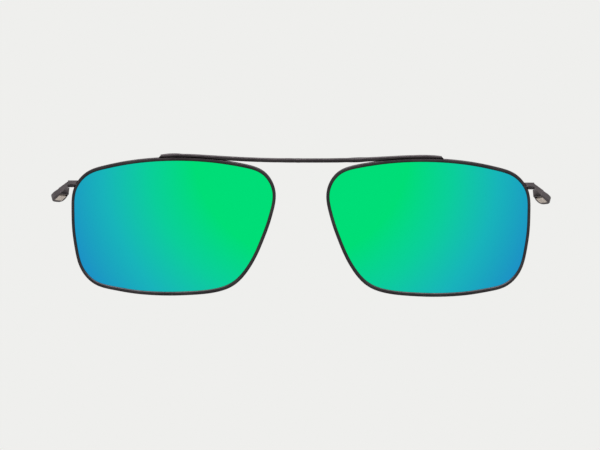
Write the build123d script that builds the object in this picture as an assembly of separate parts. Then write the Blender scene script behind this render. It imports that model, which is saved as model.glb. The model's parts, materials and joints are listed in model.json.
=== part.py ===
"""Clip-on sunglasses: a rigid wire front that hooks over the upper outer corners of a host frame.

Millimetres, as worn: the lenses face -Y, +X is to the right seen from the front, +Z is up.
Left and right in the names are also as seen from the front. The origin is where the host
frame's front meets the clip-on: on the symmetry plane, at mid height of the lenses, level with
the rear edge of the rims at the nose.
"""
import os
from math import radians, sin, sqrt

from build123d import *

# ---- driving dimensions -------------------------------------------------------------------
eye_width = 57.55           # width of one eye opening, laid out flat on the front plane
eye_height = 36.9           # height of the same opening
bridge_gap = 15.3           # clear distance between the two eye openings on that plane
base_radius = 131.0         # front curve of the lenses, close to a 4 base
face_form = 5.0             # degrees each eye is turned back round the face

lens_thick = 1.4
tongue_thick = 0.7          # flat tongue ground round the lens edge
tongue_reach = 0.45
lens_clearance = 0.01       # between the tongue and the rim groove, all round

rim_side = 0.94             # wire thickness at the nose and temple sides
rim_top = 1.14              # wire thickness along the top and the bottom
rim_depth = 2.2             # front to back
rim_proud = 0.4             # rim face in front of the lens face
rim_round = 0.4

bar_height = 1.2
bar_depth = 1.7
bar_reach = 39.8            # half length of the brow bar
bar_round = 0.45
bar_rise = 1.1             # the bar is this much higher over the rims than at the middle

split_gap = 0.05            # slot in the rim that the lock closes
lock_out = 2.0              # how far the lock stands out from the rim
lock_depth = 2.5
upper_lock = 1.05           # height of the half that carries the arm
lower_lock = 0.8           # height of the half below the slot

screw_dia = 1.0
head_dia = 1.6
head_height = 0.35
slot_width = 0.25
slot_depth = 0.2
screw_clearance = 0.04      # radial, where the screw passes the lower half
thread_clearance = 0.01     # radial, where it grips the upper half

claw_shift = (2.6, 2.0, -3.6)           # middle of the claw from the lock: out, back and up
claw_along = Vector(0.58, 0.64, -0.50)  # the claw runs out, back and down
claw_across = Vector(-0.777, 0.626, -0.067)
claw_thick = 1.9
claw_width = 3.9
claw_neck = 2.9             # width where the arm runs into the claw
claw_length = 4.7
claw_corner = 1.5           # corner radius of the rounded end
claw_round = 0.35
bury = 0.3                  # how far the bent arm runs into the lock and into the claw

pad_size = 2.4
pad_thick = 1.0
pad_proud = 0.1
pad_clearance = 0.02        # round the pad in its pocket
pocket_extra = 0.8          # the pocket runs this much further up the claw than the pad

# outline of the eye as fractions of half its width and half its height, nose side negative
eye_points = [
    (-0.909, -0.069), (-0.734, -0.636), (-0.65, -0.791), (-0.246, -0.979), (0.322, -0.987),
    (0.623, -0.925), (0.83, -0.804), (0.963, -0.337), (1.0, 0.327), (0.96, 0.658),
    (0.626, 0.904), (0.022, 0.996), (-0.608, 0.925), (-0.964, 0.69),
]
lock_height = 0.629         # height of the slot as a fraction of half the eye height

eye_x = (bridge_gap + eye_width) / 2
ball_x = eye_x - base_radius * sin(radians(face_form)) - 1.2    # centre of the lens sphere
ball = Vector(ball_x, base_radius, 0)


def depth_at(radius, x, z):
    """Y of the sphere of this radius about the lens centre, on its front side."""
    return base_radius - sqrt(radius**2 - (x - ball_x)**2 - z**2)


def eye_cone(side, top):
    """Solid cone towards the lens centre, over the eye outline grown by side and top."""
    base = Edge.make_spline(
        [Vector(eye_x + fx * eye_width / 2, 0, fz * eye_height / 2) for fx, fz in eye_points],
        periodic=True)
    count = 2 * len(eye_points)
    grown = []
    for step in range(count):
        tangent = base.tangent_at(step / count)
        out = Vector(tangent.Z, 0, -tangent.X)
        grown.append(base.position_at(step / count) + out * (side + (top - side) * out.Z**2))
    loops = []
    for y in (-4, 16):
        shrink = (base_radius - y) / base_radius
        points = [ball + (point - ball) * shrink for point in grown]
        loops.append(Wire([Edge.make_spline(points, periodic=True)]))
    return Solid.make_loft(loops, ruled=True)


def shell(front, back):
    """Spherical shell between two depths measured back from the lens face."""
    return Pos(*ball) * (Sphere(base_radius - front) - Sphere(base_radius - back))


tongue_front = (lens_thick - tongue_thick) / 2
opening = eye_cone(0, 0)
rim_outside = eye_cone(rim_side, rim_top)
rim_back = rim_depth - rim_proud
seat_y = depth_at(base_radius - rim_back, bridge_gap / 2, 0)

split_z = lock_height * eye_height / 2
rim_edge_x = (eye_x + eye_width / 2 + rim_side - ball_x) * (1 - 6.4 / base_radius) + ball_x
lock_face_x = rim_edge_x + lock_out - 1.0
lock_y = depth_at(base_radius + rim_proud, rim_edge_x - 1, split_z) + 0.1
screw_x = lock_face_x - lock_out / 2 + 0.05
screw_y = lock_y + lock_depth / 2
lower_top = split_z - split_gap


def make_rim():
    ring = (rim_outside - opening) & shell(-rim_proud, rim_back)
    ring = fillet(ring.edges(), rim_round)
    groove = eye_cone(tongue_reach + lens_clearance, tongue_reach + lens_clearance)
    groove &= shell(tongue_front - lens_clearance, tongue_front + tongue_thick + lens_clearance)
    slot = Pos(lock_face_x, 8, split_z - split_gap / 2) * Box(8, 12, split_gap)
    return ring - groove - slot


def make_lens():
    body = eye_cone(-lens_clearance, -lens_clearance) & shell(0, lens_thick)
    tongue = eye_cone(tongue_reach, tongue_reach)
    tongue &= shell(tongue_front, tongue_front + tongue_thick)
    return body + tongue


def lock_half(bottom, height):
    """Block against the outside of the rim, from the given bottom."""
    block = Pos(lock_face_x, lock_y, bottom) * Box(
        6, lock_depth, height, align=(Align.MAX, Align.MIN, Align.MIN))
    return block - rim_outside


def screw_hole(radius):
    return Pos(screw_x, screw_y, split_z) * Cylinder(radius, 8)


claw_middle = Vector(lock_face_x, screw_y, split_z + upper_lock / 2) + Vector(*claw_shift)
claw_plane = Plane(claw_middle, x_dir=claw_along, z_dir=claw_across.cross(claw_along))


def make_arm():
    """Upper lock half, the bent arm and the claw with its pocket, in one casting."""
    block = lock_half(split_z, upper_lock)
    front_y, back_y = lock_y + bury / 10, lock_y + lock_depth - bury / 10
    top_z, bottom_z = split_z + upper_lock - bury / 10, split_z + bury / 10
    root = [(front_y, top_z), (back_y, top_z), (back_y, bottom_z), (front_y, bottom_z)]
    root_loop = Wire.make_polygon([Vector(lock_face_x - bury, y, z) for y, z in root], close=True)
    neck_u, half_neck, half_thick = -claw_length / 2, claw_neck / 2, claw_thick / 2
    neck = [(-1, -1), (1, -1), (1, 1), (-1, 1)]
    across = claw_plane.y_dir * (1 if claw_plane.y_dir.dot(claw_across) > 0 else -1)
    neck_loop = Wire.make_polygon(
        [claw_middle + claw_plane.x_dir * (neck_u + bury) + across * (half_neck * i)
         + claw_plane.z_dir * (half_thick * j) for i, j in neck], close=True)
    strap = Solid.make_loft([root_loop, neck_loop], ruled=True)

    half = claw_width / 2
    outline = make_face(Polyline(
        (neck_u, -half_neck), (neck_u + 2.2, -half), (-neck_u, -half),
        (-neck_u, half), (neck_u + 2.2, half), (neck_u, half_neck), close=True))
    outline = fillet(outline.vertices().sort_by(Axis.X)[-2:], claw_corner)
    claw = extrude(outline, half_thick, both=True)
    rounded = claw.edges().filter_by(lambda edge: edge.center().X > neck_u + 0.1)
    claw = fillet(rounded.filter_by(lambda edge: abs(edge.center().Z) > half_thick - 0.01),
                  claw_round)
    claw = claw_plane * claw
    relief = Pos(lock_face_x + split_gap, lock_y - 1, split_z) * Box(
        6, lock_depth + 2, split_gap + lower_lock + 0.1, align=(Align.MAX, Align.MIN, Align.MAX))
    arm = block + strap + claw - pocket() - relief
    return arm - screw_hole(screw_dia / 2 + thread_clearance)


def pad_box(grow, extra):
    """Pad outline in the claw plane, grown all round and made longer towards the arm."""
    size = pad_size + 2 * grow
    return Pos(-extra / 2, 0, claw_thick / 2 + pad_proud) * Box(
        size + extra, size, pad_thick, align=(Align.CENTER, Align.CENTER, Align.MAX))


def pocket():
    return claw_plane * pad_box(pad_clearance, pocket_extra)


def make_pad():
    pad = pad_box(0, 0)
    pad = fillet(pad.edges().group_by(Axis.Z)[-1], 0.2)
    return claw_plane * pad


def make_lower_lock():
    block = lock_half(lower_top - lower_lock, lower_lock)
    head = Pos(screw_x, screw_y, lower_top - lower_lock) * Cylinder(
        head_dia / 2 + screw_clearance, head_height, align=(Align.CENTER, Align.CENTER, Align.MIN))
    return block - screw_hole(screw_dia / 2 + screw_clearance) - head


def make_screw():
    bottom = lower_top - lower_lock
    centred = (Align.CENTER, Align.CENTER, Align.MIN)
    length = split_z + upper_lock - bottom - 0.1
    screw = Cylinder(head_dia / 2, head_height, align=centred)
    screw += Cylinder(screw_dia / 2, length, align=centred)
    screw -= Box(head_dia + 1, slot_width, slot_depth, align=centred)
    return Pos(screw_x, screw_y, bottom) * screw


def make_bar():
    """Brow bar: one rounded strip arched over the nose and seated in the tops of the rims."""
    low = eye_height / 2 - 0.05
    stations = [(0, 1.8, 0), (0.35, 1.7, 0.17), (0.6, 1.5, 0.62), (0.83, 1.9, 1),
                (0.93, 2.3, 0.93), (1, 2.6, 0.62)]
    right = [Vector(x * bar_reach, y, low + rise * bar_rise) for x, y, rise in stations]
    left = [Vector(-point.X, point.Y, point.Z) for point in reversed(right[1:])]
    path = Spline(*left, *right)
    start = Plane(path @ 0, x_dir=(0, 0, 1), z_dir=path % 0)
    bar = sweep(start * RectangleRounded(bar_height, bar_depth, bar_round), path)
    tip = path @ 1
    for x in (-tip.X, tip.X):
        bar -= Pos(x, tip.Y, tip.Z + bar_height / 2) * Rot(0, 45, 0) * Box(
            bar_height, 2 * bar_depth, bar_height)
    return bar - rim_outside - mirror(rim_outside, about=Plane.YZ)


makers = {"rim": make_rim, "lens": make_lens, "arm": make_arm, "claw_pad": make_pad,
          "lock_block": make_lower_lock, "lock_screw": make_screw}

os.makedirs("parts", exist_ok=True)
to_seat = Pos(0, -seat_y, 0)
for name, maker in makers.items():
    piece = to_seat * maker()
    export_step(piece, f"parts/{name}_right.step")
    export_step(mirror(piece, about=Plane.YZ), f"parts/{name}_left.step")
export_step(to_seat * make_bar(), "parts/brow_bar.step")
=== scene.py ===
import json
import math

import bpy
from mathutils import Matrix, Vector


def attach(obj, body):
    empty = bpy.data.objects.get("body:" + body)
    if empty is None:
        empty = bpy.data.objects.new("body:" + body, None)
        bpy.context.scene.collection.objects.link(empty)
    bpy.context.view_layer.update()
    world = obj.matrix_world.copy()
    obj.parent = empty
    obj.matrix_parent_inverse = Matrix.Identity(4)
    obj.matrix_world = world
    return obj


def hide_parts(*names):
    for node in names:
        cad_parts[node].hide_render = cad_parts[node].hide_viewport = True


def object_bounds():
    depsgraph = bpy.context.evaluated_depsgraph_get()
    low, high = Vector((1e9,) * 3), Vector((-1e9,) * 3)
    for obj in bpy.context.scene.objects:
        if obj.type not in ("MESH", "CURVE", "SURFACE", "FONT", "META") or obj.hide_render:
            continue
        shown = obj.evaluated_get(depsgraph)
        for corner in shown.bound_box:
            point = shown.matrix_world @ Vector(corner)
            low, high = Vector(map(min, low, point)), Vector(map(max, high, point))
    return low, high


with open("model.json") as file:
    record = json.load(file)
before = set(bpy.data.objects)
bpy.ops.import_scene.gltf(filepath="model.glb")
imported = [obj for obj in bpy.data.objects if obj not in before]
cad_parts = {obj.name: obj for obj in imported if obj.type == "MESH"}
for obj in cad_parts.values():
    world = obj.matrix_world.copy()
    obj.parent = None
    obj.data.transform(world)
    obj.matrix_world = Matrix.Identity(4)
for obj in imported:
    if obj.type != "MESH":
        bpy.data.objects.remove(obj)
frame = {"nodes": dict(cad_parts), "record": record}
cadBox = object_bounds()
scene = bpy.context.scene
sides = ("left", "right")


def hexColour(code):
    # sRGB hex to the linear values that shaders use
    parts = [int(code[i:i + 2], 16) / 255 for i in (1, 3, 5)]
    return tuple(c / 12.92 if c <= 0.04045 else ((c + 0.055) / 1.055) ** 2.4 for c in parts) + (1,)


def addNode(material, kind, settings=(), inputs=(), links=()):
    # one node, its settings, its input values, and links as (input, node, output)
    node = material.node_tree.nodes.new(kind)
    for name, value in dict(settings).items():
        setattr(node, name, value)
    for name, value in dict(inputs).items():
        node.inputs[name].default_value = value
    for name, source, output in links:
        material.node_tree.links.new(source.outputs[output], node.inputs[name])
    return node


def newMaterial(name):
    material = bpy.data.materials.new(name)
    material.use_nodes = True
    return material, material.node_tree.nodes["Principled BSDF"]


def setColours(ramp, stops):
    band = ramp.color_ramp
    while len(band.elements) < len(stops):
        band.elements.new(0.5)
    for element, (position, code) in zip(band.elements, stops):
        element.position = position
        element.color = hexColour(code)


def linkTo(material, shader, socket, node, output):
    material.node_tree.links.new(node.outputs[output], shader.inputs[socket])


# gunmetal plating over nickel silver, satin: a dark metal with a soft sheen; the cast arms have the same
# plating, a little smoother, painted lighter than the drawn wire: painted light for the light their faces
# catch
platingGrain = {"cloudPerMetre": 180, "cloudDetail": 2, "detail": 3, "roughness": 0.6, "bump": 0.25}
wireFinish = {
    "name": "gunmetalPlatedWire", "dark": "#2c282a", "light": "#3a3537", "grainMm": 0.25,
    "bumpMm": 0.004, "metallic": 0.85, "roughLow": 0.33, "roughHigh": 0.43,
}
# the arms' copy of the plating, painted lighter: painted light, not a different metal
paintedLitCastFinish = {
    "name": "gunmetalPlatedCasting", "dark": "#544e50", "light": "#686163", "grainMm": 0.3,
    "bumpMm": 0.004, "metallic": 0.9, "roughLow": 0.3, "roughHigh": 0.4,
}


def makeGunmetal(finish):
    material, shader = newMaterial(finish["name"])
    place = addNode(material, "ShaderNodeTexCoord")
    grain = addNode(material, "ShaderNodeTexNoise", {"noise_dimensions": "3D"},
                    {"Scale": 1000 / finish["grainMm"], "Detail": platingGrain["detail"],
                     "Roughness": platingGrain["roughness"]},
                    [("Vector", place, "Object")])
    cloud = addNode(material, "ShaderNodeTexNoise", {},
                    {"Scale": platingGrain["cloudPerMetre"], "Detail": platingGrain["cloudDetail"]},
                    [("Vector", place, "Object")])
    tone = addNode(material, "ShaderNodeValToRGB", {}, {}, [("Fac", cloud, "Fac")])
    setColours(tone, [(0.35, finish["dark"]), (0.7, finish["light"])])
    rough = addNode(material, "ShaderNodeMapRange", {},
                    {"To Min": finish["roughLow"], "To Max": finish["roughHigh"]},
                    [("Value", grain, "Fac")])
    bump = addNode(material, "ShaderNodeBump", {},
                   {"Strength": platingGrain["bump"], "Distance": finish["bumpMm"] / 1000},
                   [("Height", grain, "Fac")])
    linkTo(material, shader, "Base Color", tone, "Color")
    linkTo(material, shader, "Roughness", rough, "Result")
    linkTo(material, shader, "Normal", bump, "Normal")
    shader.inputs["Metallic"].default_value = finish["metallic"]
    return material


# polarised nylon with a flash mirror coat, its colour painted by the distance in millimetres from one
# point above the nose,
# from green to blue: a painted reflection colour for the mirror's shift to blue at steeper angles; the
# rear is plain grey-brown tint
lensFinish = {
    "stops": [(30, "#00ec80"), (43, "#0cdca6"), (56, "#1ac0c8"), (70, "#2098d4")],
    "sourceMm": (0, 0, 21.4), "reachMm": 70, "rough": 0.05,
    "tintDark": "#211e1b", "tintLight": "#25221e", "hazeMm": 9,
}


def makeMirror():
    material, shader = newMaterial("mirrorCoatedNylon")
    place = addNode(material, "ShaderNodeTexCoord")
    source = tuple(mm / 1000 for mm in lensFinish["sourceMm"])
    # distance from the point above the nose drives the coat's painted reflection colour, green near it,
    # blue far off
    far = addNode(material, "ShaderNodeVectorMath", {"operation": "DISTANCE"}, {1: source},
                  [(0, place, "Object")])
    reach = addNode(material, "ShaderNodeMapRange", {}, {"From Max": lensFinish["reachMm"] / 1000},
                    [("Value", far, "Value")])
    coat = addNode(material, "ShaderNodeValToRGB", {}, {}, [("Fac", reach, "Result")])
    setColours(coat, [(mm / lensFinish["reachMm"], code) for mm, code in lensFinish["stops"]])
    haze = addNode(material, "ShaderNodeTexNoise", {}, {"Scale": 1000 / lensFinish["hazeMm"]},
                   [("Vector", place, "Object")])
    tint = addNode(material, "ShaderNodeValToRGB", {}, {}, [("Fac", haze, "Fac")])
    setColours(tint, [(0.3, lensFinish["tintDark"]), (0.7, lensFinish["tintLight"])])
    facing = addNode(material, "ShaderNodeSeparateXYZ", {}, {}, [("Vector", place, "Normal")])
    front = addNode(material, "ShaderNodeMath", {"operation": "LESS_THAN"}, {1: -0.5},
                    [(0, facing, "Y")])
    both = addNode(material, "ShaderNodeMix", {"data_type": "RGBA"}, {},
                   [("Factor", front, 0), ("A", tint, "Color"), ("B", coat, "Color")])
    linkTo(material, shader, "Base Color", both, "Result")
    linkTo(material, shader, "Metallic", front, 0)
    shader.inputs["Roughness"].default_value = lensFinish["rough"]
    return material


# silicone: pale and cloudy, drawn opaque, with a soft dusty surface
padFinish = {"ior": 1.41, "pale": "#a69b92", "deep": "#988e86", "rough": 0.5, "grainMm": 0.9}


def makeSilicone():
    material, shader = newMaterial("translucentSilicone")    # the real one lets some light in
    place = addNode(material, "ShaderNodeTexCoord")
    cloud = addNode(material, "ShaderNodeTexNoise", {}, {"Scale": 1000 / padFinish["grainMm"]},
                    [("Vector", place, "Object")])
    tone = addNode(material, "ShaderNodeValToRGB", {}, {}, [("Fac", cloud, "Fac")])
    setColours(tone, [(0.3, padFinish["deep"]), (0.7, padFinish["pale"])])
    linkTo(material, shader, "Base Color", tone, "Color")
    shader.inputs["Roughness"].default_value = padFinish["rough"]
    shader.inputs["IOR"].default_value = padFinish["ior"]
    return material


# blackened steel screw: darker and a little shinier than the plating
screwFinish = {"dark": "#232327", "light": "#3c3c42", "ringMm": 2.4, "wobble": 0.6, "rough": 0.3}


def makeScrewSteel():
    material, shader = newMaterial("blackenedSteel")
    place = addNode(material, "ShaderNodeTexCoord")
    rings = addNode(material, "ShaderNodeTexWave", {"bands_direction": "Z"},
                    {"Scale": 1000 / screwFinish["ringMm"], "Distortion": screwFinish["wobble"]},
                    [("Vector", place, "Object")])
    tone = addNode(material, "ShaderNodeValToRGB", {}, {}, [("Fac", rings, "Fac")])
    setColours(tone, [(0.2, screwFinish["dark"]), (0.8, screwFinish["light"])])
    linkTo(material, shader, "Base Color", tone, "Color")
    shader.inputs["Metallic"].default_value = 1
    shader.inputs["Roughness"].default_value = screwFinish["rough"]
    return material


def paint(piece, material):
    piece.data.materials.clear()
    piece.data.materials.append(material)


platedWire = makeGunmetal(wireFinish)
paintedLitPlating = makeGunmetal(paintedLitCastFinish)
mirrorCoat = makeMirror()
silicone = makeSilicone()
screwSteel = makeScrewSteel()
# the arms take the lighter copy of the plating, which is painted light
finishes = {"rim": platedWire, "arm": paintedLitPlating, "lock_block": platedWire,
            "brow_bar": platedWire,
            "lens": mirrorCoat, "claw_pad": silicone, "lock_screw": screwSteel}
for name, node in frame["nodes"].items():
    paint(node, finishes[name.replace("_left", "").replace("_right", "")])
print("materials on the CAD pieces")


# soft pad under each claw: a dished face with a raised border, all its edges rounded
padShape = {"sizeMm": 2.4, "thickMm": 1.0, "borderMm": 0.34, "dishMm": 0.1, "roundMm": 0.16,
            "roundSteps": 4, "sharpDegrees": 10, "smoothDegrees": 50, "along": (0.58, 0.64, -0.50)}


def makePad(side):
    mount = next(m for m in frame["record"]["mounts"] if m["name"] == "pad_" + side)
    bpy.ops.object.select_all(action="DESELECT")
    bpy.ops.mesh.primitive_cube_add(size=padShape["sizeMm"] / 1000)
    pad = bpy.context.object
    pad.name = "siliconePad_" + side
    pad.scale.z = padShape["thickMm"] / padShape["sizeMm"]
    pad.location.z = -padShape["thickMm"] / 2000
    bpy.ops.object.transform_apply(location=True, scale=True)
    bpy.ops.object.mode_set(mode="EDIT")
    bpy.ops.mesh.select_mode(type="FACE")
    bpy.ops.mesh.select_all(action="DESELECT")
    bpy.ops.object.mode_set(mode="OBJECT")
    for face in pad.data.polygons:
        face.select = face.normal.z > 0.9
    bpy.ops.object.mode_set(mode="EDIT")
    bpy.ops.mesh.inset(thickness=padShape["borderMm"] / 1000)
    bpy.ops.transform.translate(value=(0, 0, -padShape["dishMm"] / 1000))
    bpy.ops.object.mode_set(mode="OBJECT")
    soften = pad.modifiers.new("soften", "BEVEL")
    soften.width = padShape["roundMm"] / 1000
    soften.segments = padShape["roundSteps"]
    soften.limit_method = "ANGLE"
    soften.angle_limit = math.radians(padShape["sharpDegrees"])
    bpy.ops.object.modifier_apply(modifier="soften")
    bpy.ops.object.shade_smooth_by_angle(angle=math.radians(padShape["smoothDegrees"]))
    # turned and moved into its pocket, in the mesh
    out = Vector(mount["axis"]).normalized()
    along = Vector(padShape["along"])
    along.x *= 1 if side == "right" else -1
    along = (along - out * along.dot(out)).normalized()
    turn = Matrix((along, out.cross(along), out)).transposed().to_4x4()
    pad.data.transform(Matrix.Translation(mount["pos_m"]) @ turn)
    paint(pad, silicone)
    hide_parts("claw_pad_" + side)
    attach(pad, "root")


for side in sides:
    makePad(side)
print("claw pads")


# pale table under the object, out of the front view
tableTop = {"size": 0.6, "drop": 0.115, "colour": "#f6f6f4", "rough": 0.9}


def makeTable():
    bpy.ops.object.select_all(action="DESELECT")
    lowest = cadBox[0].z - tableTop["drop"]
    bpy.ops.mesh.primitive_plane_add(size=tableTop["size"], location=(0, 0, lowest))
    table = bpy.context.object
    table.name = "paleTable"
    material, shader = newMaterial("mattePaper")
    shader.inputs["Base Color"].default_value = hexColour(tableTop["colour"])
    shader.inputs["Roughness"].default_value = tableTop["rough"]
    paint(table, material)
    table.visible_glossy = False    # so that the metal's undersides stay dark


makeTable()


# pale room for the camera; for the light it is a soft box overhead and in front, dimmer below
room = {"pale": "#efefed", "warmth": 0.99, "bands": [(0.0, 0.6), (0.25, 0.6), (0.34, 0.863), (0.68, 0.863),
                                     (0.86, 1.05), (1.0, 1.15)]}


def makeRoom():
    world = bpy.data.worlds.new("studio")
    scene.world = world
    world.use_nodes = True
    seen = world.node_tree.nodes["Background"]
    seen.inputs["Color"].default_value = hexColour(room["pale"])
    output = world.node_tree.nodes["World Output"]
    place = addNode(world, "ShaderNodeTexCoord")
    axes = addNode(world, "ShaderNodeSeparateXYZ", {}, {}, [("Vector", place, "Generated")])
    height = addNode(world, "ShaderNodeMapRange", {}, {"From Min": -1, "From Max": 1},
                     [("Value", axes, "Z")])
    bands = addNode(world, "ShaderNodeValToRGB", {}, {}, [("Fac", height, "Result")])
    band = bands.color_ramp
    while len(band.elements) < len(room["bands"]):
        band.elements.new(0.5)
    for element, (position, level) in zip(band.elements, room["bands"]):
        element.position = position
        element.color = (level, level, level * room["warmth"], 1)
    lit = addNode(world, "ShaderNodeBackground", {}, {}, [("Color", bands, "Color")])
    path = addNode(world, "ShaderNodeLightPath")
    mixed = addNode(world, "ShaderNodeMixShader", {}, {}, [("Fac", path, "Is Camera Ray")])
    world.node_tree.links.new(lit.outputs[0], mixed.inputs[1])
    world.node_tree.links.new(seen.outputs[0], mixed.inputs[2])
    world.node_tree.links.new(mixed.outputs[0], output.inputs["Surface"])


makeRoom()


def softLight(name, place, aim, size, power):
    lamp = bpy.data.lights.new(name, "AREA")
    lamp.shape = "RECTANGLE"
    lamp.size, lamp.size_y = size
    lamp.energy = power
    holder = bpy.data.objects.new(name, lamp)
    scene.collection.objects.link(holder)
    holder.location = place
    holder.rotation_mode = "QUATERNION"
    holder.rotation_quaternion = (Vector(aim) - Vector(place)).to_track_quat("-Z", "Y")
    return holder


topLight = {"place": (0, -0.2, 0.5), "aim": (0, 0, 0), "size": (0.5, 0.3), "power": 4.2}
softLight("softTop", **topLight)
scene.view_settings.view_transform = "Standard"

cameraSetup = {"distance": 0.7, "across": 0.1667, "moveX": -0.00025, "moveZ": 0.0005, "roll": -0.27,
               "sensor": 36, "near": 0.01, "far": 10}
lens = bpy.data.cameras.new("studioCamera")
lens.sensor_width = cameraSetup["sensor"]
lens.lens = cameraSetup["sensor"] * cameraSetup["distance"] / cameraSetup["across"]
lens.clip_start, lens.clip_end = cameraSetup["near"], cameraSetup["far"]
camera = bpy.data.objects.new("studioCamera", lens)
scene.collection.objects.link(camera)
camera.location = (cameraSetup["moveX"], -cameraSetup["distance"], cameraSetup["moveZ"])
camera.rotation_euler = (math.radians(90), math.radians(cameraSetup["roll"]), 0)
scene.camera = camera
print("stage, lights and camera")
